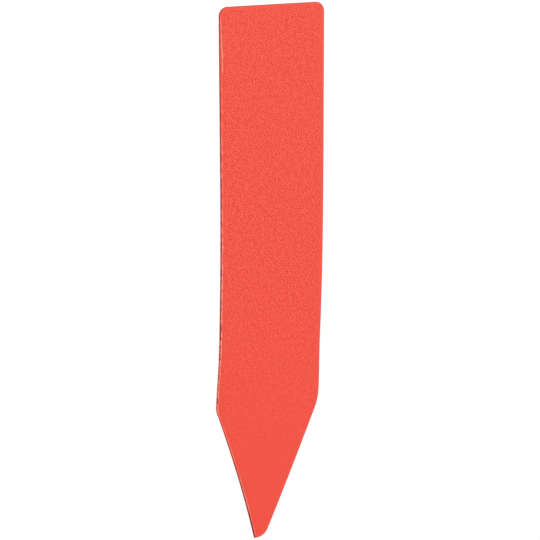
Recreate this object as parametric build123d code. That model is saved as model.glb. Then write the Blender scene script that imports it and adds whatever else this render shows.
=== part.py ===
from build123d import *
from math import atan2, cos, pi, radians, sin, tan
import os

# A plant label stake: one strip of coloured plastic sheet, cut by a die in a single stroke.
# It has a square-shouldered writing panel with rounded top corners, and a long point for the soil.
# Its upper panel is flat. Below that the sheet curls backwards, and it twists slightly at the shoulders.
#
# Frame: the label stands on its point. +X runs to the right across the front, +Y points out of the
# back, and +Z runs up the label. The origin is the end of the point, on the sheet's front surface.

# The flat blank, measured along and across the sheet
blank_length = 100.0
blank_width = 20.0
sheet_thickness = 0.5
point_length = 27.7
top_corner_radius = 1.6

# The two shoulders, where the straight sides turn into the point
left_shoulder_radius = 4.0
right_shoulder_radius = 14.0
flank_hollow = 0.2

# The end of the point: a sharp corner left of the middle, and a rounded one right of it
tip_left_reach = 0.4
tip_right_reach = 1.45
tip_radius = 2.25
tip_rounding_limit_share = 0.95

# The curl: none over the flat panel, and then growing down to its full angle at the tip
flat_panel_length = 25.0
curl_angle = 13.5
curl_growth = 1.5

# The twist: it starts above the shoulders and is complete at them
twist_angle = 3.1
twist_run = 12.0

# How far a cutting or cut shape runs past the label
overrun = 2.0

# Counts that set how closely the curl is followed
curl_sections = 14
steps_between_sections = 12

curl_start = blank_length - flat_panel_length
twist_start = point_length + twist_run


def curl_at(along):
    # Backward lean of the sheet in radians, at a length along the sheet from the tip
    below_start = max(curl_start - along, 0) / curl_start
    return radians(curl_angle) * below_start**curl_growth


def twist_at(along):
    # Turn of the sheet in radians about its own length, eased in and out
    done = min(max(twist_start - along, 0) / twist_run, 1)
    return radians(twist_angle) * done * done * (3 - 2 * done)


def walk_down(start, end):
    # How far the front surface goes back and down between two lengths along the sheet
    step = (start - end) / steps_between_sections
    back = 0
    down = 0
    for number in range(steps_between_sections):
        lean = curl_at(start - (number + 0.5) * step)
        back += step * sin(lean)
        down += step * cos(lean)
    return back, down


def follow_curl(stations):
    # The front surface's place at each station, from the curl's start down, as (along, y, z)
    places = [(stations[0], 0, 0)]
    for start, end in zip(stations, stations[1:]):
        back, down = walk_down(start, end)
        _, y, z = places[-1]
        places.append((end, y + back, z - down))
    return places


def stations_down_to(along):
    # Evenly spaced lengths along the sheet, from the curl's start down
    spacing = (curl_start - along) / curl_sections
    return [curl_start - number * spacing for number in range(curl_sections + 1)]


# The tip is the origin, which fixes where the flat panel and the shoulders stand
_, panel_setback, tip_drop = follow_curl(stations_down_to(0))[-1]
_, _, shoulder_drop = follow_curl(stations_down_to(point_length))[-1]
panel_front = -panel_setback
panel_bottom = -tip_drop
panel_top = panel_bottom + flat_panel_length
shoulder_height = panel_bottom + shoulder_drop
half_width = blank_width / 2

# The tip's rounding has to fit the width of the point's end
flank_lean = atan2(half_width - tip_right_reach, shoulder_height)
largest_tip_radius = (tip_left_reach + tip_right_reach) / tan((pi / 2 - flank_lean) / 2)
tip_rounding = min(tip_radius, largest_tip_radius * tip_rounding_limit_share)


def curl_section(along, y, z):
    # The sheet's cross-section at one station, wider than the label on both sides
    lean = curl_at(along)
    turn = twist_at(along)
    down_the_sheet = Vector(0, sin(lean), -cos(lean))
    out_of_back = Vector(0, cos(lean), sin(lean))
    across = Vector(1, 0, 0) * cos(turn) - out_of_back * sin(turn)
    station = Plane(
        origin=(0, panel_front + y, panel_bottom + z),
        x_dir=across,
        z_dir=down_the_sheet * -1,
    )
    width = blank_width + 2 * overrun
    return station * Rectangle(width, sheet_thickness, align=(Align.CENTER, Align.MIN))


def curled_strip():
    # The curled and twisted part of the sheet, running on past the tip
    stations = stations_down_to(-overrun)
    return loft([curl_section(*place) for place in follow_curl(stations)])


def flat_strip():
    # The flat part of the sheet, running on past the top edge
    return Pos(0, panel_front, panel_bottom) * Box(
        blank_width + 2 * overrun,
        sheet_thickness,
        flat_panel_length + overrun,
        align=(Align.CENTER, Align.MIN, Align.MIN),
    )


def die_outline():
    # The die's outline, seen from the front
    left_tip = (-tip_left_reach, 0)
    right_tip = (tip_right_reach, 0)
    right_shoulder = (half_width, shoulder_height)
    right_top = (half_width, panel_top)
    left_top = (-half_width, panel_top)
    left_shoulder = (-half_width, shoulder_height)
    with BuildSketch(Plane.XZ) as outline:
        with BuildLine():
            Line(left_tip, right_tip)
            SagittaArc(right_tip, right_shoulder, flank_hollow)
            Polyline(right_shoulder, right_top, left_top, left_shoulder)
            SagittaArc(left_shoulder, left_tip, flank_hollow)
        make_face()
        rounded = {
            right_tip: tip_rounding,
            right_shoulder: right_shoulder_radius,
            left_shoulder: left_shoulder_radius,
            right_top: top_corner_radius,
            left_top: top_corner_radius,
        }
        for place, radius in rounded.items():
            fillet(outline.vertices().sort_by_distance(Vector(*place))[0], radius)
    return outline.sketch


def label_blade():
    # The curled strip, cut to the die's outline. The cut goes straight back through the sheet
    sheet = flat_strip() + curled_strip()
    reach = panel_setback + sheet_thickness + overrun
    return sheet & extrude(die_outline(), amount=reach, both=True)


os.makedirs("parts", exist_ok=True)
label = label_blade()
export_step(label, "parts/label_blade.step")
print(f"label stands {panel_top:.2f} mm high, its tip {panel_setback:.2f} mm behind the panel")
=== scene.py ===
# Plant label stake: one strip of coral red plastic sheet, die cut to a long point, curled a little
import bpy
import bmesh
import cmath
import math
import random
from mathutils import Matrix, Vector, noise
from mathutils.kdtree import KDTree


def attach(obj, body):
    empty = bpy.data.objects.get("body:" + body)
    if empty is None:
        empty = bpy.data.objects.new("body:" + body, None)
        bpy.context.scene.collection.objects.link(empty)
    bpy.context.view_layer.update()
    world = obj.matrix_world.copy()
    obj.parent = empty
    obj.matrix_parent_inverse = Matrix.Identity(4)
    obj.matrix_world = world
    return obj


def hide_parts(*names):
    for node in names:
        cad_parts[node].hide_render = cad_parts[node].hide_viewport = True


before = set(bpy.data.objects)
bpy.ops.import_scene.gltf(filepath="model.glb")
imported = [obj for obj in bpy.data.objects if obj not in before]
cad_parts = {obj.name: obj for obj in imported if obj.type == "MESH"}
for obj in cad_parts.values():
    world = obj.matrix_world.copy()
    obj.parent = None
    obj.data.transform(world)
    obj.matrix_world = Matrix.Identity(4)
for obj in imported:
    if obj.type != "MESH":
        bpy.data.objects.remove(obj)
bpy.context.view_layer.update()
mm = 0.001
print("frame loaded")


class Wire:
    # An output socket that can be used in Python maths; it makes the Math nodes by itself
    def __init__(self, graph, socket):
        self.graph = graph
        self.socket = socket

    def maths(self, operation, *values):
        return self.graph.node("ShaderNodeMath", {"operation": operation}, values)

    def __add__(self, other):
        return self.maths("ADD", self, other)

    def __sub__(self, other):
        return self.maths("SUBTRACT", self, other)

    def __rsub__(self, other):
        return self.maths("SUBTRACT", other, self)

    def __mul__(self, other):
        return self.maths("MULTIPLY", self, other)

    def __truediv__(self, other):
        return self.maths("DIVIDE", self, other)

    def __rtruediv__(self, other):
        return self.maths("DIVIDE", other, self)

    def __pow__(self, other):
        return self.maths("POWER", self, other)

    def __rpow__(self, other):
        return self.maths("POWER", other, self)

    __radd__ = __add__
    __rmul__ = __mul__

    def atLeast(self, other):
        return self.maths("MAXIMUM", self, other)

    def atMost(self, other):
        return self.maths("MINIMUM", self, other)

    def sine(self):
        return self.maths("SINE", self)

    def cosine(self):
        return self.maths("COSINE", self)

    def ramp(self, start, end):
        # Goes smoothly from 0 at start to 1 at end, whichever of the two is larger
        share = ((self - start) / (end - start)).atLeast(0.0).atMost(1.0)
        return share * share * (3.0 - 2.0 * share)


class Graph:
    # A node tree, filled from Python
    def __init__(self, tree):
        self.tree = tree
        self.tree.nodes.clear()

    def node(self, kind, settings=None, values=(), output=0):
        made = self.tree.nodes.new(kind)
        for name, setting in (settings or {}).items():
            setattr(made, name, setting)
        pairs = values.items() if isinstance(values, dict) else enumerate(values)
        for key, value in pairs:
            if isinstance(value, Wire):
                self.tree.links.new(value.socket, made.inputs[key])
            else:
                made.inputs[key].default_value = value
        return Wire(self, made.outputs[output]) if made.outputs else made

    def mix(self, share, colourA, colourB):
        # Colour A where share is 0, colour B where it is 1
        return self.node("ShaderNodeMix", {"data_type": "RGBA"}, {0: share, 6: colourA, 7: colourB}, 2)

    def noise(self, place, size, detail=2.0, seed=0.0):
        # Cloudy noise from 0 to 1 with features of about one size
        settings = {"noise_dimensions": "4D"}
        values = {"Vector": place, "W": seed, "Scale": 1.0 / size, "Detail": detail}
        return self.node("ShaderNodeTexNoise", settings, values)

    def flatNoise(self, u, v, size):
        # The same in a plane, which has no broad clouds in it
        place = self.node("ShaderNodeCombineXYZ", None, [u, v, 0.0])
        values = {"Vector": place, "Scale": 1.0 / size, "Detail": 0.0}
        return self.node("ShaderNodeTexNoise", {"noise_dimensions": "2D"}, values)

    def split(self, vector):
        # The three parts of a vector
        made = self.node("ShaderNodeSeparateXYZ", None, [vector]).socket.node
        return [Wire(self, socket) for socket in made.outputs]


# The flat blank: lengths across and along the sheet, with the tip at the bottom
sheet = {
    "length": 100.0 * mm,
    "width": 19.99 * mm,
    "thickness": 0.5 * mm,
    "frontInset": 0.015 * mm,  # room for the slivers inside the true size
    "pointLength": 27.7 * mm,
    "topCornerRadius": 1.6 * mm,
    "leftShoulderRadius": 4.0 * mm,
    "rightShoulderRadius": 14.0 * mm,
    "leftHollow": 0.25 * mm,
    "rightHollow": 0.17 * mm,
    "tipLeftReach": 0.47 * mm,
    "tipRightReach": 1.53 * mm,
    "tipRadius": 2.3 * mm,
    "rollWidth": 0.11 * mm,  # the front edge is drawn in by the die
    "rollDepth": 0.09 * mm,
    "rollSteps": 5,
    "rollLostShare": 0.8,  # how much narrower it gets where the cut slants fully
    "breakDepth": 0.3 * mm,  # where the clean cut ends and the sheet has torn off
    "breakInset": 0.02 * mm,
    "backEdge": 0.03 * mm,
    "slant": 0.15 * mm,  # the left flank's cut isn't square to the sheet, least so at the shoulder
    "slantTop": 26.5 * mm,
    "slantGrowth": 0.4,
    "slantFacing": (0.8, 0.9),  # from how far an edge has to face left for it
    "nickDepth": 0.15 * mm,  # the die has nicked the left edge, most of all low on the panel
    "nickSize": 0.55 * mm,
    "nickTop": 92.0 * mm,
    "nickFull": 60.0 * mm,
    "nickEnd": 29.0 * mm,
    "nickContrast": 4,
    "nickSeed": (0.4, 3.3),
    "flatBorder": 0.18 * mm,  # how far in the front stays flat
    "outlineStep": 0.25 * mm,
    "fewestArcSteps": 6,
    "edgeSamples": 5,  # for each step of the outline
    "gridStep": 0.4 * mm,
    "snap": 0.03 * mm,
}

# How the sheet is bent, from its flat panel down
bend = {
    "curlStart": 75.0 * mm,
    "curlAngle": math.radians(13.5),
    "curlGrowth": 1.5,
    "twistStart": 39.7 * mm,
    "twistRun": 12.0 * mm,
    "twistAngle": math.radians(3.1),
    "rippleDepth": 0.015 * mm,
    "rippleSize": 2.6 * mm,
    "seed": 4.0,
}


def roundCorner(before, corner, after, radius):
    # Points across and along, as complex numbers, of the arc that rounds a corner
    if not radius:
        return [corner]
    back = (before - corner) / abs(before - corner)
    ahead = (after - corner) / abs(after - corner)
    halfAngle = abs(cmath.phase(ahead / back)) / 2
    middle = (back + ahead) / abs(back + ahead)
    centre = corner + middle * radius / math.sin(halfAngle)
    first = corner + back * radius / math.tan(halfAngle) - centre
    sweep = math.pi - 2 * halfAngle
    count = max(sheet["fewestArcSteps"], round(radius * sweep / sheet["outlineStep"]))
    return [centre + first * cmath.rect(1, sweep * n / count) for n in range(count + 1)]


def blankOutline():
    # The die's outline, anticlockwise from the sharp left corner of the tip
    half = sheet["width"] / 2
    corners = [
        (complex(-sheet["tipLeftReach"], 0), 0),
        (complex(sheet["tipRightReach"], 0), sheet["tipRadius"]),
        (complex(half, sheet["pointLength"]), sheet["rightShoulderRadius"]),
        (complex(half, sheet["length"]), sheet["topCornerRadius"]),
        (complex(-half, sheet["length"]), sheet["topCornerRadius"]),
        (complex(-half, sheet["pointLength"]), sheet["leftShoulderRadius"]),
    ]
    bare = []
    for n, (corner, radius) in enumerate(corners):
        before = corners[n - 1][0]
        after = corners[(n + 1) % len(corners)][0]
        bare += roundCorner(before, corner, after, radius)
    outline = []
    for start, end in zip(bare, bare[1:] + bare[:1]):
        count = max(1, round(abs(end - start) / sheet["outlineStep"]))
        outline += [start + (end - start) * n / count for n in range(count)]
    return [hollowed(place) for place in outline]


def hollowed(place):
    # The point's two flanks are cut slightly hollow
    share = min(max(place.imag / sheet["pointLength"], 0), 1)
    hollow = sheet["leftHollow"] if place.real < 0 else sheet["rightHollow"]
    return place - math.copysign(hollow * 4 * share * (1 - share), place.real)


def outwardSteps(loop):
    # For each point of a loop, the step that moves its edges out by one
    steps = []
    for before, here, after in zip(loop[-1:] + loop[:-1], loop, loop[1:] + loop[:1]):
        first = (here - before) / abs(here - before) * -1j
        second = (after - here) / abs(after - here) * -1j
        steps.append((first + second) / (1 + (first * second.conjugate()).real))
    return steps


def rimProfile(slant):
    # The cut edge from front to back: inset from the outline, depth into the sheet, share of cut face
    front = sheet["frontInset"]
    count = sheet["rollSteps"]
    roll = sheet["rollWidth"] * (1 - sheet["rollLostShare"] * slant / sheet["slant"])
    profile = []
    for n in range(count + 1):
        angle = math.pi / 2 * n / count
        inset = slant + roll * (1 - math.sin(angle))
        depth = front + sheet["rollDepth"] * (1 - math.cos(angle))
        profile.append((inset, depth, (n / count) ** 2))
    edge = sheet["backEdge"]
    inset = sheet["breakInset"]
    profile.append((slant * (1 - sheet["breakDepth"] / sheet["thickness"]), sheet["breakDepth"], 1))
    profile.append((inset, sheet["breakDepth"] + edge, 1))
    profile.append((inset, sheet["thickness"] - edge, 1))
    profile.append((inset + edge, sheet["thickness"], 0))
    return profile


def nickAt(along):
    # How deep the left edge is nicked, at a length along the sheet
    worn = min(max((sheet["nickTop"] - along) / (sheet["nickTop"] - sheet["nickFull"]), 0), 1)
    ending = min(max((along - sheet["nickEnd"]) / sheet["nickSize"], 0), 1)
    bite = noise.noise(Vector((*sheet["nickSeed"], along / sheet["nickSize"])))
    return sheet["nickDepth"] * worn * ending * min(max(bite * sheet["nickContrast"], 0), 1)


def slantAt(place, step):
    # How far the front of the left edge is drawn in: at nicks, and all along the point
    start, full = sheet["slantFacing"]
    towardsLeft = min(max((-step.real / abs(step) - start) / (full - start), 0), 1)
    below = max(0, 1 - max(place.imag, 0) / sheet["slantTop"])
    slant = sheet["slant"] * below ** sheet["slantGrowth"]
    return max(slant, nickAt(place.imag)) * towardsLeft


def boundaryLoop(bm):
    # The vertices round an open patch, in order, anticlockwise seen from the front
    nextVert = {}
    for edge in bm.edges:
        if edge.is_boundary:
            loop = edge.link_loops[0]
            nextVert[loop.vert] = loop.link_loop_next.vert
    first = next(iter(nextVert))
    ring = [first]
    while nextVert[ring[-1]] != first:
        ring.append(nextVert[ring[-1]])
    return ring


def cutIntoGrid(bm):
    # Cross cuts first, while the patch still has few faces
    step = sheet["gridStep"]
    cuts = [((0, 0, n * step), (0, 0, 1)) for n in range(1, round(sheet["length"] / step))]
    half = round(sheet["width"] / 2 / step)
    cuts += [((n * step, 0, 0), (1, 0, 0)) for n in range(1 - half, half)]
    for place, direction in cuts:
        everything = bm.verts[:] + bm.edges[:] + bm.faces[:]
        bmesh.ops.bisect_plane(
            bm, geom=everything, dist=sheet["snap"], plane_co=place, plane_no=direction)


def flatBlank():
    # The blank as it comes from the die: front, back and cut edge, not bent yet
    outline = blankOutline()
    border = sheet["flatBorder"]
    inner = [place - step * border for place, step in zip(outline, outwardSteps(outline))]
    bm = bmesh.new()
    for name in ("fromEdge", "cutFace", "facesLeft", "nick"):
        bm.verts.layers.float.new(name)
    bm.faces.new([bm.verts.new((place.real, 0, place.imag)) for place in inner])
    cutIntoGrid(bm)
    for vert in bm.verts:
        vert.co.y = sheet["frontInset"]
    frontRing = boundaryLoop(bm)
    copied = bmesh.ops.duplicate(bm, geom=bm.verts[:] + bm.edges[:] + bm.faces[:])
    backFaces = [item for item in copied["geom"] if isinstance(item, bmesh.types.BMFace)]
    bmesh.ops.reverse_faces(bm, faces=backFaces)
    for face in backFaces:
        for vert in face.verts:
            vert.co.y = sheet["thickness"]
    cutFace = bm.verts.layers.float["cutFace"]
    ringPlaces = [complex(vert.co.x, vert.co.z) for vert in frontRing]
    steps = outwardSteps(ringPlaces)
    rings = [frontRing]
    profiles = [rimProfile(slantAt(place, step)) for place, step in zip(ringPlaces, steps)]
    for level in zip(*profiles):
        ring = []
        for place, step, (inset, depth, cutShare) in zip(ringPlaces, steps, level):
            moved = place + step * (border - inset)
            ring.append(bm.verts.new((moved.real, depth, moved.imag)))
            ring[-1][cutFace] = cutShare
        rings.append(ring)
    rings.append([copied["vert_map"][vert] for vert in frontRing])
    for ring, deeper in zip(rings, rings[1:]):
        for n in range(len(ring)):
            bm.faces.new((ring[n - 1], deeper[n - 1], deeper[n], ring[n]))
    storeEdgeDistance(bm, outline)
    mesh = bpy.data.meshes.new("labelBlank")
    bm.to_mesh(mesh)
    bm.free()
    return mesh


def storeEdgeDistance(bm, outline):
    # For the material: distance from the edge in mm, how much that edge faces left, and its nicks in mm
    fromEdge = bm.verts.layers.float["fromEdge"]
    facesLeft = bm.verts.layers.float["facesLeft"]
    nick = bm.verts.layers.float["nick"]
    samples = sheet["edgeSamples"]
    fine, leftward = [], []
    for start, end in zip(outline, outline[1:] + outline[:1]):
        fine += [start + (end - start) * n / samples for n in range(samples)]
        leftward += [max(0, (start - end).imag / abs(end - start))] * samples
    tree = KDTree(len(fine))
    for n, place in enumerate(fine):
        tree.insert((place.real, 0, place.imag), n)
    tree.balance()
    for vert in bm.verts:
        _, nearest, distance = tree.find((vert.co.x, 0, vert.co.z))
        vert[fromEdge] = distance / mm
        vert[facesLeft] = leftward[nearest]
        vert[nick] = nickAt(vert.co.z) / mm


def curlPath(share, start, angle, growth):
    # How far the sheet has gone back and down where a share of the curl is run.
    # These are the integrals of sine and cosine of the lean, angle * share ** growth
    power = growth * 2 + 1
    longer = growth * 3 + 1
    longest = growth * 4 + 1
    back = angle * share ** (growth + 1) / (growth + 1) - angle ** 3 * share ** longer / (longer * 6)
    down = share - angle ** 2 * share ** power / (power * 2)
    down = down + angle ** 4 * share ** longest / (longest * 24)
    return start * back, start * down


def newTree(name, sockets):
    # A geometry node tree with named inputs, given as name: (type, default)
    tree = bpy.data.node_groups.new(name, "GeometryNodeTree")
    tree.interface.new_socket("Geometry", in_out="INPUT", socket_type="NodeSocketGeometry")
    tree.interface.new_socket("Geometry", in_out="OUTPUT", socket_type="NodeSocketGeometry")
    for socketName, (kind, default) in sockets.items():
        socket = tree.interface.new_socket(socketName, in_out="INPUT", socket_type="NodeSocket" + kind)
        if default is not None:
            socket.default_value = default
    graph = Graph(tree)
    entry = graph.node("NodeGroupInput").socket.node
    return graph, {socket.name: Wire(graph, socket) for socket in entry.outputs if socket.name}


def finishTree(graph, geometry, material):
    # Every tree ends the same way
    real = graph.node("GeometryNodeRealizeInstances", None, [geometry])
    painted = graph.node("GeometryNodeSetMaterial", None, {"Geometry": real, "Material": material})
    graph.node("NodeGroupOutput", None, [painted])


def bendTree():
    # Curls and twists anything that is drawn flat on the blank, and ripples it a little
    graph, given = newTree("bendSheet", {
        "Material": ("Material", None),
        "Curl Start": ("Float", bend["curlStart"]),
        "Curl Angle": ("Float", bend["curlAngle"]),
        "Curl Growth": ("Float", bend["curlGrowth"]),
        "Twist Start": ("Float", bend["twistStart"]),
        "Twist Run": ("Float", bend["twistRun"]),
        "Twist Angle": ("Float", bend["twistAngle"]),
        "Ripple Depth": ("Float", bend["rippleDepth"]),
        "Ripple Size": ("Float", bend["rippleSize"]),
        "Seed": ("Float", bend["seed"]),
    })
    place = graph.node("GeometryNodeInputPosition")
    across, deep, along = graph.split(place)
    start = given["Curl Start"]
    share = ((start - along) / start).atLeast(0.0)
    back, down = curlPath(share, start, given["Curl Angle"], given["Curl Growth"])
    fullBack, fullDown = curlPath(1.0, start, given["Curl Angle"], given["Curl Growth"])
    lean = given["Curl Angle"] * share ** given["Curl Growth"]
    turned = ((given["Twist Start"] - along) / given["Twist Run"]).ramp(0.0, 1.0)
    turn = given["Twist Angle"] * turned
    flat = graph.node("ShaderNodeCombineXYZ", None, [across, 0.0, along])
    ripple = graph.noise(flat, given["Ripple Size"], detail=1.0, seed=given["Seed"])
    sunk = deep + given["Ripple Depth"] * ripple
    outward = sunk * turn.cosine() - across * turn.sine()
    x = across * turn.cosine() + sunk * turn.sine()
    y = back - fullBack + outward * lean.cosine()
    z = fullDown - down + (along - start).atLeast(0.0) + outward * lean.sine()
    bent = graph.node("ShaderNodeCombineXYZ", None, [x, y, z])
    moved = graph.node("GeometryNodeSetPosition", None, {
        "Geometry": given["Geometry"], "Position": bent})
    finishTree(graph, moved, given["Material"])
    return graph.tree


def addModifier(obj, tree, values):
    # Inputs are set by identifier before the object is first evaluated
    modifier = obj.modifiers.new(tree.name, "NODES")
    modifier.node_group = tree
    for item in tree.interface.items_tree:
        if item.in_out == "INPUT" and item.name in values:
            modifier[item.identifier] = values[item.name]


def newObject(name, mesh):
    obj = bpy.data.objects.new(name, mesh)
    bpy.context.scene.collection.objects.link(obj)
    return obj


def toPlainMesh(obj):
    # The modifiers' result becomes the object's own mesh
    depsgraph = bpy.context.evaluated_depsgraph_get()
    plain = bpy.data.meshes.new_from_object(
        obj.evaluated_get(depsgraph), preserve_all_data_layers=True, depsgraph=depsgraph)
    obj.modifiers.clear()
    drawn = obj.data
    obj.data = plain
    bpy.data.meshes.remove(drawn)
    plain.shade_smooth()


# Slivers of stretched plastic that the die has left along the front of the left edge.
# Each stretch, in mm, has its upper and lower end along the sheet, the slivers' inset from the edge at
# these two, and the range of their length, of the gap between them and of their pale part's width
slivers = {
    "stretches": [
        (98.1, 88.4, 0.19, 0.56, (0.9, 2.2), (-0.2, 0.1), (0.13, 0.23)),
        (86.4, 80.8, 0.33, 0.32, (0.6, 1.0), (0.5, 1.8), (0.11, 0.21)),
        (80.6, 60.8, 0.25, 0.25, (0.6, 2.6), (0.3, 1.1), (0.07, 0.15)),
        (60.2, 34.8, 0.26, 0.22, (0.9, 3.2), (-0.2, 0.5), (0.17, 0.32)),
        (34.3, 26.4, 0.11, 0.26, (1.2, 2.6), (0.3, 1.4), (0.11, 0.29)),
        (22.5, 5.0, 0.27, 0.23, (6.0, 10.5), (0.8, 1.2), (0.10, 0.11)),
    ],
    "insetSpread": 0.06,  # mm
    "drawSeed": 9101,
    "step": 0.12 * mm,
    "fewestSteps": 6,
    "foldShadeShare": 0.4,  # width of the painted shade of the fold beside the pale part, as a share of its width
    "taper": (0.08, 0.4),  # least share of the girth at the ends, and how bluntly it grows from there
    "rise": 0.02 * mm,  # how far they stand proud of the face where they are as wide as usual
    "usualGirth": 0.24 * mm,
    "leastDepth": 0.001 * mm,
    "sides": 12,
    "wobble": 0.09 * mm,
    "wobbleSize": 0.8 * mm,
    "swellSize": 0.6,  # as a share of the wobble's size
    "seed": 7.0,
    "stressed": (1.0, 0.34, 0.24, 1),
    # the fold's colour is painted shade
    "foldShade": (0.66, 0.06, 0.02, 1),
    "foldShadeRange": (0.2, 0.5),  # across the strip, from its outer side at -1 to its inner one at 1
    "streakSize": 0.6 * mm,
    "streakRange": (0.25, 0.6),
    "bumpStrength": 0.6,
    "bumpDepth": 0.02 * mm,
    "roughness": 0.45,
}


def leftEdge(outline, along):
    # Where the blank's left edge is, at a length along the sheet
    side = sorted((place.imag, place.real) for place in outline if place.real < 0)
    above = next(n for n, (height, _) in enumerate(side) if height >= along)
    (low, first), (high, second) = side[above - 1], side[above]
    return first + (second - first) * (along - low) / (high - low)


def sliverStrips():
    # From the top down: both ends of each sliver, the inset at each, and the width of its pale part
    draw = random.Random(slivers["drawSeed"])
    strips = []
    for top, bottom, insetTop, insetBottom, lengths, gaps, widths in slivers["stretches"]:
        start = top
        while start - lengths[0] >= bottom:
            end = max(bottom, start - draw.uniform(*lengths))
            insets = []
            for place in (start, end):
                share = min(max((top - place) / (top - bottom), 0), 1)
                astray = draw.uniform(-slivers["insetSpread"], slivers["insetSpread"])
                insets.append(insetTop + (insetBottom - insetTop) * share + astray)
            strips.append((start, end, *insets, draw.uniform(*widths)))
            start = end - draw.uniform(*gaps)
    return strips


def sliverGuides():
    # One line of points for each strip, drawn on the flat blank, with a girth that tapers out
    places, edges, girths, limits = [], [], [], []
    outline = blankOutline()
    for top, bottom, insetTop, insetBottom, width in sliverStrips():
        girth = width * (1 + slivers["foldShadeShare"]) * mm
        thinnest, bluntness = slivers["taper"]
        count = max(slivers["fewestSteps"], round((top - bottom) * mm / slivers["step"]))
        for n in range(count + 1):
            share = n / count
            along = (top + (bottom - top) * share) * mm
            paleInset = insetTop + (insetBottom - insetTop) * share
            inset = (paleInset + width * slivers["foldShadeShare"] / 2) * mm
            limit = leftEdge(outline, along)
            if n:
                edges.append((len(places) - 1, len(places)))
            places.append((limit + inset, sheet["frontInset"], along))
            girths.append(girth * max(thinnest, math.sin(math.pi * share)) ** bluntness)
            limits.append(limit)
    mesh = bpy.data.meshes.new("sliverGuides")
    mesh.from_pydata(places, edges, [])
    mesh.attributes.new("girth", "FLOAT", "POINT").data.foreach_set("value", girths)
    mesh.attributes.new("limit", "FLOAT", "POINT").data.foreach_set("value", limits)
    return mesh


def sliverTree():
    # Sweeps a flat strip along each guide, which wobbles as a torn edge does
    graph, given = newTree("edgeSlivers", {
        "Material": ("Material", None),
        "Rise": ("Float", slivers["rise"]),
        "Wobble": ("Float", slivers["wobble"]),
        "Wobble Size": ("Float", slivers["wobbleSize"]),
        "Front": ("Float", sheet["frontInset"]),
        "Seed": ("Float", slivers["seed"]),
    })
    curve = graph.node("GeometryNodeMeshToCurve", None, [given["Geometry"]])
    along = graph.split(graph.node("GeometryNodeInputPosition"))[2]
    spot = graph.node("ShaderNodeCombineXYZ", None, [0.0, 0.0, along / given["Wobble Size"]])
    sway = graph.noise(spot, 1.0, seed=given["Seed"]) - 0.5
    shift = graph.node("ShaderNodeCombineXYZ", None, [sway * given["Wobble"] * 2.0, 0.0, 0.0])
    swayed = graph.node("GeometryNodeSetPosition", None, {"Geometry": curve, "Offset": shift})
    upright = graph.node("GeometryNodeSetCurveNormal", {"mode": "FREE"}, {
        "Curve": swayed, "Normal": (0, -1, 0)})
    girth = graph.node("GeometryNodeInputNamedAttribute", {"data_type": "FLOAT"}, ["girth"])
    limit = graph.node("GeometryNodeInputNamedAttribute", {"data_type": "FLOAT"}, ["limit"])
    swell = graph.noise(spot, slivers["swellSize"], seed=given["Seed"] + 5.0) * 2.0  # 1 on average
    circle = graph.node("GeometryNodeCurvePrimitiveCircle", {"mode": "RADIUS"}, {
        "Resolution": slivers["sides"], "Radius": 0.5})
    # -1 on the outer side and 1 on the inner one
    acrossStrip = graph.split(graph.node("GeometryNodeInputPosition"))[1] * -2.0
    marked = graph.node("GeometryNodeStoreNamedAttribute", {"data_type": "FLOAT", "domain": "POINT"}, {
        "Geometry": circle, "Name": "acrossStrip", "Value": acrossStrip})
    strips = graph.node("GeometryNodeCurveToMesh", None, {
        "Curve": upright, "Profile Curve": marked, "Scale": girth * swell, "Fill Caps": True})
    across, deep, height = graph.split(graph.node("GeometryNodeInputPosition"))
    flatter = (deep - given["Front"]) * given["Rise"] / (slivers["usualGirth"] / 2) + given["Front"]
    flatter = flatter.atLeast(slivers["leastDepth"])
    flattened = graph.node("ShaderNodeCombineXYZ", None, [across.atLeast(limit), flatter, height])
    pressed = graph.node("GeometryNodeSetPosition", None, {"Geometry": strips, "Position": flattened})
    finishTree(graph, pressed, given["Material"])
    return graph.tree


# The plastic's colours, in linear light as everywhere here, and its grain, whose two colours hold its
# own tone and painted light and shade of its relief
plastic = {
    "grainPaleAndLit": (0.953, 0.109, 0.067, 1),
    "grainDarkAndShaded": (0.795, 0.020, 0.0, 1),
    "smooth": (0.905, 0.075, 0.044, 1),
    "grainSize": 0.235 * mm,
    "grainShift": 0.115 * mm,
    "grainTurn": math.radians(28),
    # strength of the painted light and shade on the dashes
    "grainShadingContrast": 1.5,
    "pebbleSize": 0.25 * mm,
    "pebbleContrast": 0.85,
    "speckRange": (0.66, 0.8),
    "speckContrast": 0.5,
    "blotchSize": 0.8 * mm,
    "blotchContrast": 0.42,
    "grainDepth": 0.02 * mm,
    "patchSize": 2.4 * mm,
    "patchRange": (0.32, 0.68),
    "patchStrength": (0.75, 0.35),  # the grain's strength outside patches, and what they add
    "grainBorder": (0.2, 0.7),  # mm from the edge
    "grainFade": (-10.0, 58.0),  # mm up the label
    "roughness": 0.7,
    "cutRoughness": 0.1,  # how much rougher the cut face is
    "grainSheen": 0.05,  # how much less rough the grain is
}
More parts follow.
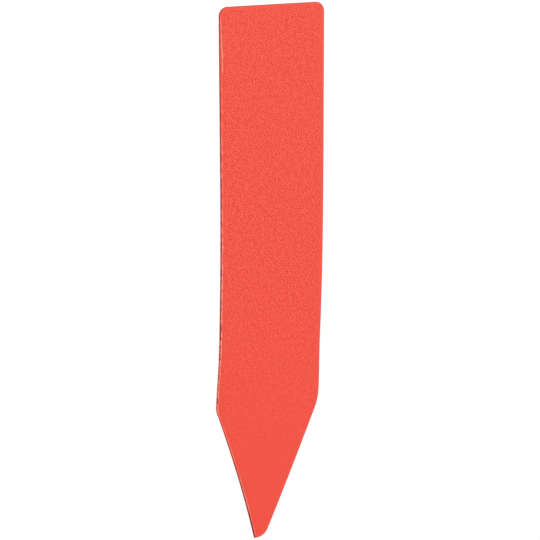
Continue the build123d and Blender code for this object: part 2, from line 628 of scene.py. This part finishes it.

# The plastic along its edges, with painted light and shade: the dark lines are painted shade in the cut
# face's colour, and the left edge's pale plastic holds a painted highlight. What is named for a height
# is in mm up the label. Where the border, the dark lines, the shade and the stretched plastic start and
# end is in mm in from the edge, and on the left from the inner side of its dark line. Facings, and
# ranges of a noise, go from 0 to 1
edgeLook = {
    "border": (0.92, 0.076, 0.042, 1),
    "borderRange": (0.8, 0.25),
    "leftFacing": (0.85, 0.97),  # how far the edge has to face left for the left edge's painted highlight and shade
    "otherFacing": (0.7, 0.3),  # and for the painted shade along the others
    "darkWidth": 0.045,  # mm
    "leftEdgeShadeRange": (0.025, -0.025),
    "darkLowWidth": 0.18,  # mm that the painted dark line gains down the point
    "darkLowHeight": (28.0, 7.0),
    "otherEdgeShadeRange": (0.18, 0.03),
    "unevenSize": 1.2 * mm,
    "unevenRange": (0.4, 0.6),
    "shade": (0.80, 0.065, 0.020, 1),
    "shadeStart": (0.32, 0.44),
    "shadeEnd": (0.77, 0.52),
    "shadeShares": (0.3, 0.7),  # how much of it is even, and how much comes and goes along the edge
    # Pale stretched plastic along the left edge, with a painted highlight of its left-facing roll mixed
    # in
    "stretchedAndLit": (1.0, 0.19, 0.15, 1),
    "stretchedLitStart": (-0.06, 0.06),
    "stretchedLitEnd": (0.28, 0.16),
    "stretchedLitShares": (0.2, 0.75),
    "stretchedLitHeight": (72.0, 50.0),
    "stretchedLitGrowth": (0.1, 0.85),  # its strength at the top, and what it gains down the panel
    # The cut face's colours are painted shade, darker than the plastic because the cut faces away from
    # the lamp; the top's cut gets less of it
    "cut": (0.37, 0.014, 0.012, 1),
    "cutPale": (0.66, 0.046, 0.030, 1),
    "streakSize": 0.35 * mm,
    "streakRange": (0.42, 0.6),
    "cutLow": (0.32, 0.020, 0.022, 1),
    "cutLowHeight": (9.0, 4.0),
    "cutTop": (0.68, 0.078, 0.05, 1),
    "cutTopHeight": (98.6, 99.3),
    "chip": (0.92, 0.16, 0.12, 1),
    "chipSize": 0.7 * mm,
    "chipRange": (0.44, 0.54),
    "chipHeight": (25.0, 29.0),
    "chipTopHeight": (82.0, 70.0),
    "manyChipsHeight": (41.8, 40.2),
    "fewChipsHeight": (53.0, 56.0),
    "fewChipsShare": 0.5,
}


def newMaterial(name):
    material = bpy.data.materials.new(name)
    material.use_nodes = True
    return material, Graph(material.node_tree)


def stored(graph, name):
    # A number that is stored at each vertex
    return graph.node("ShaderNodeAttribute", {"attribute_name": name}, (), "Fac")


def grainedPlastic(graph, spot, fromEdge, height):
    # The grain: short dashes that lean, with painted light and shade as if lit from one side, and
    # pebbles, specks and blotches among them
    across, _, along = graph.split(spot)
    sine, cosine = math.sin(plastic["grainTurn"]), math.cos(plastic["grainTurn"])
    acrossDash = across * cosine + along * sine
    alongDash = across * sine - along * cosine
    lit = graph.flatNoise(acrossDash + plastic["grainShift"], alongDash, plastic["grainSize"])
    shaded = graph.flatNoise(acrossDash, alongDash, plastic["grainSize"])
    blotches = graph.flatNoise(across, along, plastic["blotchSize"]) - 0.5
    pebbles = graph.flatNoise(along, across, plastic["pebbleSize"]) - 0.5
    specks = (pebbles + 0.5).ramp(*plastic["speckRange"])
    patches = graph.noise(spot, plastic["patchSize"], seed=1.0).ramp(*plastic["patchRange"])
    outside, added = plastic["patchStrength"]
    strength = fromEdge.ramp(*plastic["grainBorder"]) * (outside + added * patches)
    # Painted light and shade: the noise a little to one side less the noise here makes one flank of
    # each dash pale and the other dark
    toneAndShading = (lit - shaded) * plastic["grainShadingContrast"] + blotches * plastic["blotchContrast"]
    toneAndShading = toneAndShading + pebbles * plastic["pebbleContrast"] + specks * plastic["speckContrast"]
    toneAndShading = toneAndShading * strength + 0.5
    colour = graph.mix(toneAndShading.atLeast(0.0).atMost(1.0), plastic["grainDarkAndShaded"], plastic["grainPaleAndLit"])
    fade = height.ramp(*plastic["grainFade"])
    return graph.mix(fade, plastic["smooth"], colour), shaded * strength * fade, fade


def whitenedAndLitEdge(graph, colour, fromEdge, left, nick, along):
    # Beside the left edge's dark line: pale stretched plastic, partly whitened and partly a painted
    # highlight on the edge's roll that faces left, with a faint painted shade further in
    height = along / mm
    alongEdge = graph.node("ShaderNodeCombineXYZ", None, [0.0, 0.0, along])
    uneven = graph.noise(alongEdge, edgeLook["unevenSize"], detail=3.0, seed=8.0)
    uneven = uneven.ramp(*edgeLook["unevenRange"])
    inner = fromEdge - edgeLook["darkWidth"] - nick
    inner = inner - edgeLook["darkLowWidth"] * height.ramp(*edgeLook["darkLowHeight"])
    even, changing = edgeLook["shadeShares"]
    shade = left * inner.ramp(*edgeLook["shadeStart"]) * inner.ramp(*edgeLook["shadeEnd"])
    colour = graph.mix(shade * (even + changing * uneven), colour, edgeLook["shade"])
    # Whitened plastic and a painted highlight, only where the edge faces left
    even, changing = edgeLook["stretchedLitShares"]
    stretchedAndLit = left * inner.ramp(*edgeLook["stretchedLitEnd"]) * inner.ramp(*edgeLook["stretchedLitStart"])
    atTop, gained = edgeLook["stretchedLitGrowth"]
    grown = atTop + gained * height.ramp(*edgeLook["stretchedLitHeight"])
    colour = graph.mix(stretchedAndLit * (even + changing * uneven) * grown, colour, edgeLook["stretchedAndLit"])
    return colour, inner


def cutColours(graph, spot, left, height):
    # The cut face, in painted shade far darker than the plastic as it faces away from the lamp:
    # streaky, darker still near the tip, with paler chips low on the left side and less shade along the
    # top
    streaks = graph.noise(spot, edgeLook["streakSize"], seed=3.0).ramp(*edgeLook["streakRange"])
    colour = graph.mix(streaks, edgeLook["cut"], edgeLook["cutPale"])
    colour = graph.mix(height.ramp(*edgeLook["cutLowHeight"]), colour, edgeLook["cutLow"])
    chips = graph.noise(spot, edgeLook["chipSize"], seed=12.0).ramp(*edgeLook["chipRange"])
    few = edgeLook["fewChipsShare"] * height.ramp(*edgeLook["fewChipsHeight"])
    chips = chips * (height.ramp(*edgeLook["manyChipsHeight"]) + few)
    chips = chips * height.ramp(*edgeLook["chipHeight"]) * height.ramp(*edgeLook["chipTopHeight"])
    colour = graph.mix(chips, colour, edgeLook["chip"])
    return graph.mix(height.ramp(*edgeLook["cutTopHeight"]) * (1.0 - left), colour, edgeLook["cutTop"])


def labelPlastic():
    material, graph = newMaterial("coralSheet")
    spot = graph.node("ShaderNodeTexCoord", None, (), "Object")
    fromEdge, cutFace = stored(graph, "fromEdge"), stored(graph, "cutFace")
    facesLeft, nick = stored(graph, "facesLeft"), stored(graph, "nick")
    along = graph.split(spot)[2]
    height = along / mm
    colour, relief, fade = grainedPlastic(graph, spot, fromEdge, height)
    colour = graph.mix(fromEdge.ramp(*edgeLook["borderRange"]), colour, edgeLook["border"])
    left = facesLeft.ramp(*edgeLook["leftFacing"])
    colour, inner = whitenedAndLitEdge(graph, colour, fromEdge, left, nick, along)
    # Painted shade: the cut face's dark colour drawn along the front of the left edge, and as thin
    # lines along the rolls of the other edges, which face away from the light
    other = facesLeft.ramp(*edgeLook["otherFacing"]) * fromEdge.ramp(*edgeLook["otherEdgeShadeRange"])
    shadedEdge = (left * inner.ramp(*edgeLook["leftEdgeShadeRange"]) + other).atLeast(cutFace)
    colour = graph.mix(shadedEdge, colour, cutColours(graph, spot, left, height))
    bump = graph.node("ShaderNodeBump", None, {
        "Strength": 1.0, "Distance": plastic["grainDepth"], "Height": relief})
    roughness = plastic["roughness"] + plastic["cutRoughness"] * cutFace - plastic["grainSheen"] * fade
    shader = graph.node("ShaderNodeBsdfPrincipled", None, {
        "Base Color": colour, "Roughness": roughness, "Normal": bump})
    graph.node("ShaderNodeOutputMaterial", None, [shader])
    return material


def sliverPlastic():
    # Whitened where it is stretched, with painted shade in the fold on its inner side
    material, graph = newMaterial("stretchedPlasticFoldShade")
    side = stored(graph, "acrossStrip")
    spot = graph.node("ShaderNodeTexCoord", None, (), "Object")
    streaks = graph.noise(spot, slivers["streakSize"], detail=3.0, seed=6.0)
    pale = graph.mix(streaks.ramp(*slivers["streakRange"]), edgeLook["border"], slivers["stressed"])
    # Painted shade on the strip's inner side, where it folds away from the light
    colour = graph.mix(side.ramp(*slivers["foldShadeRange"]), pale, slivers["foldShade"])
    bump = graph.node("ShaderNodeBump", None, {
        "Strength": slivers["bumpStrength"], "Distance": slivers["bumpDepth"], "Height": streaks})
    shader = graph.node("ShaderNodeBsdfPrincipled", None, {
        "Base Color": colour, "Roughness": slivers["roughness"], "Normal": bump})
    graph.node("ShaderNodeOutputMaterial", None, [shader])
    return material


print("cutting and bending the blank")
bendSheet = bendTree()
labelMaterial = labelPlastic()
label = newObject("labelSheet", flatBlank())
label.data.materials.append(labelMaterial)
addModifier(label, bendSheet, {"Material": labelMaterial})
toPlainMesh(label)
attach(label, "root")
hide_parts("label_blade")

print("laying the slivers along the cut edge")
sliverMaterial = sliverPlastic()
burr = newObject("edgeSlivers", sliverGuides())
burr.data.materials.append(sliverMaterial)
addModifier(burr, sliverTree(), {"Material": sliverMaterial})
addModifier(burr, bendSheet, {"Material": sliverMaterial})
toPlainMesh(burr)
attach(burr, "root")

# Floor, world, lamps and camera
setting = {
    "floorRadius": 3.0,
    "floorColour": (0.92, 0.92, 0.92, 1),
    "floorSides": 96,
    "floorSeen": (0.2, 0.2, 0.2, 1),  # what the camera sees of its colour, for a faint shadow
    "floorGlow": 0.88,  # and how much plain white it adds
    "worldStrength": 0.55,
}

keyLamp = {
    "turn": math.radians(12),
    "lift": math.radians(3.5),
    "distance": 1.2,
    "width": 1.0,
    "height": 0.3,
    "power": 6.62,
}

backLamp = {
    "turn": math.radians(168),
    "lift": math.radians(3.5),
    "distance": 1.2,
    "width": 1.0,
    "height": 0.3,
    "power": 4.0,
}

camera = {
    "turn": math.radians(26.672),
    "lift": math.radians(13.989),
    "roll": math.radians(-0.16),
    "distance": 341.4 * mm,
    "focalLength": 1933.8,  # in pixels of a picture as wide as the next line says
    "pictureWidth": 540,
    "sensorWidth": 36,
    "centre": (0, -7.039 * mm, 49.481 * mm),
    "offset": (0.593 * mm, 3.277 * mm),
    "clip": (0.01, 50),
}


def seenStraight(graph):
    # 1 for what the camera sees, straight or in gloss or glass, and 0 for the light on other things
    path = graph.node("ShaderNodeLightPath").socket.node.outputs
    seen = Wire(graph, path["Is Camera Ray"]).atLeast(Wire(graph, path["Is Glossy Ray"]))
    return seen.atLeast(Wire(graph, path["Is Transmission Ray"]))


def makeFloor():
    bm = bmesh.new()
    bmesh.ops.create_circle(
        bm, cap_ends=True, segments=setting["floorSides"], radius=setting["floorRadius"])
    mesh = bpy.data.meshes.new("floor")
    bm.to_mesh(mesh)
    bm.free()
    floor = newObject("floor", mesh)
    material, graph = newMaterial("paleFloor")
    matt = graph.node("ShaderNodeBsdfDiffuse", None, {"Color": setting["floorColour"]})
    faint = graph.node("ShaderNodeBsdfDiffuse", None, {"Color": setting["floorSeen"]})
    glow = graph.node("ShaderNodeEmission", None, {
        "Color": (1, 1, 1, 1), "Strength": setting["floorGlow"]})
    white = graph.node("ShaderNodeAddShader", None, [faint, glow])
    both = graph.node("ShaderNodeMixShader", None, [seenStraight(graph), matt, white])
    graph.node("ShaderNodeOutputMaterial", None, [both])
    mesh.materials.append(material)


def makeWorld():
    world = bpy.data.worlds.new("paleWorld")
    world.use_nodes = True
    bpy.context.scene.world = world
    graph = Graph(world.node_tree)
    strength = setting["worldStrength"] + (1 - setting["worldStrength"]) * seenStraight(graph)
    sky = graph.node("ShaderNodeBackground", None, {"Color": (1, 1, 1, 1), "Strength": strength})
    graph.node("ShaderNodeOutputWorld", None, [sky])


def backwards(turn, lift):
    # The direction from what is looked at to a lamp or camera, turned right and lifted
    return Vector((math.sin(turn) * math.cos(lift), -math.cos(turn) * math.cos(lift), math.sin(lift)))


def aimed(obj, place, back, up):
    # Looks along the opposite of back, with up upwards
    right = up.cross(back).normalized()
    up = back.cross(right).normalized()
    turned = Matrix((right, up, back)).transposed().to_4x4()
    obj.matrix_world = Matrix.Translation(place) @ turned
    bpy.context.scene.collection.objects.link(obj)


def makeLamp(name, lamp):
    data = bpy.data.lights.new(name, "AREA")
    data.shape = "ELLIPSE"
    data.size = lamp["width"]
    data.size_y = lamp["height"]
    data.energy = lamp["power"]
    back = backwards(lamp["turn"], lamp["lift"])
    place = Vector(camera["centre"]) + back * lamp["distance"]
    aimed(bpy.data.objects.new(name, data), place, back, Vector((0, 0, 1)))


def makeCamera():
    data = bpy.data.cameras.new("camera")
    data.lens = camera["focalLength"] / camera["pictureWidth"] * camera["sensorWidth"]
    data.sensor_width = camera["sensorWidth"]
    data.clip_start, data.clip_end = camera["clip"]
    obj = bpy.data.objects.new("camera", data)
    back = backwards(-camera["turn"], camera["lift"])
    right = Vector((math.cos(camera["turn"]), -math.sin(camera["turn"]), 0))
    right = right * math.cos(camera["roll"]) + back.cross(right) * math.sin(camera["roll"])
    up = back.cross(right)
    x, y = camera["offset"]
    place = Vector(camera["centre"]) - right * x + up * y + back * camera["distance"]
    aimed(obj, place, back, up)
    bpy.context.scene.camera = obj


print("setting the scene")
makeFloor()
makeWorld()
makeLamp("keyLamp", keyLamp)
makeLamp("backLamp", backLamp)
makeCamera()
bpy.context.scene.view_settings.view_transform = "Standard"
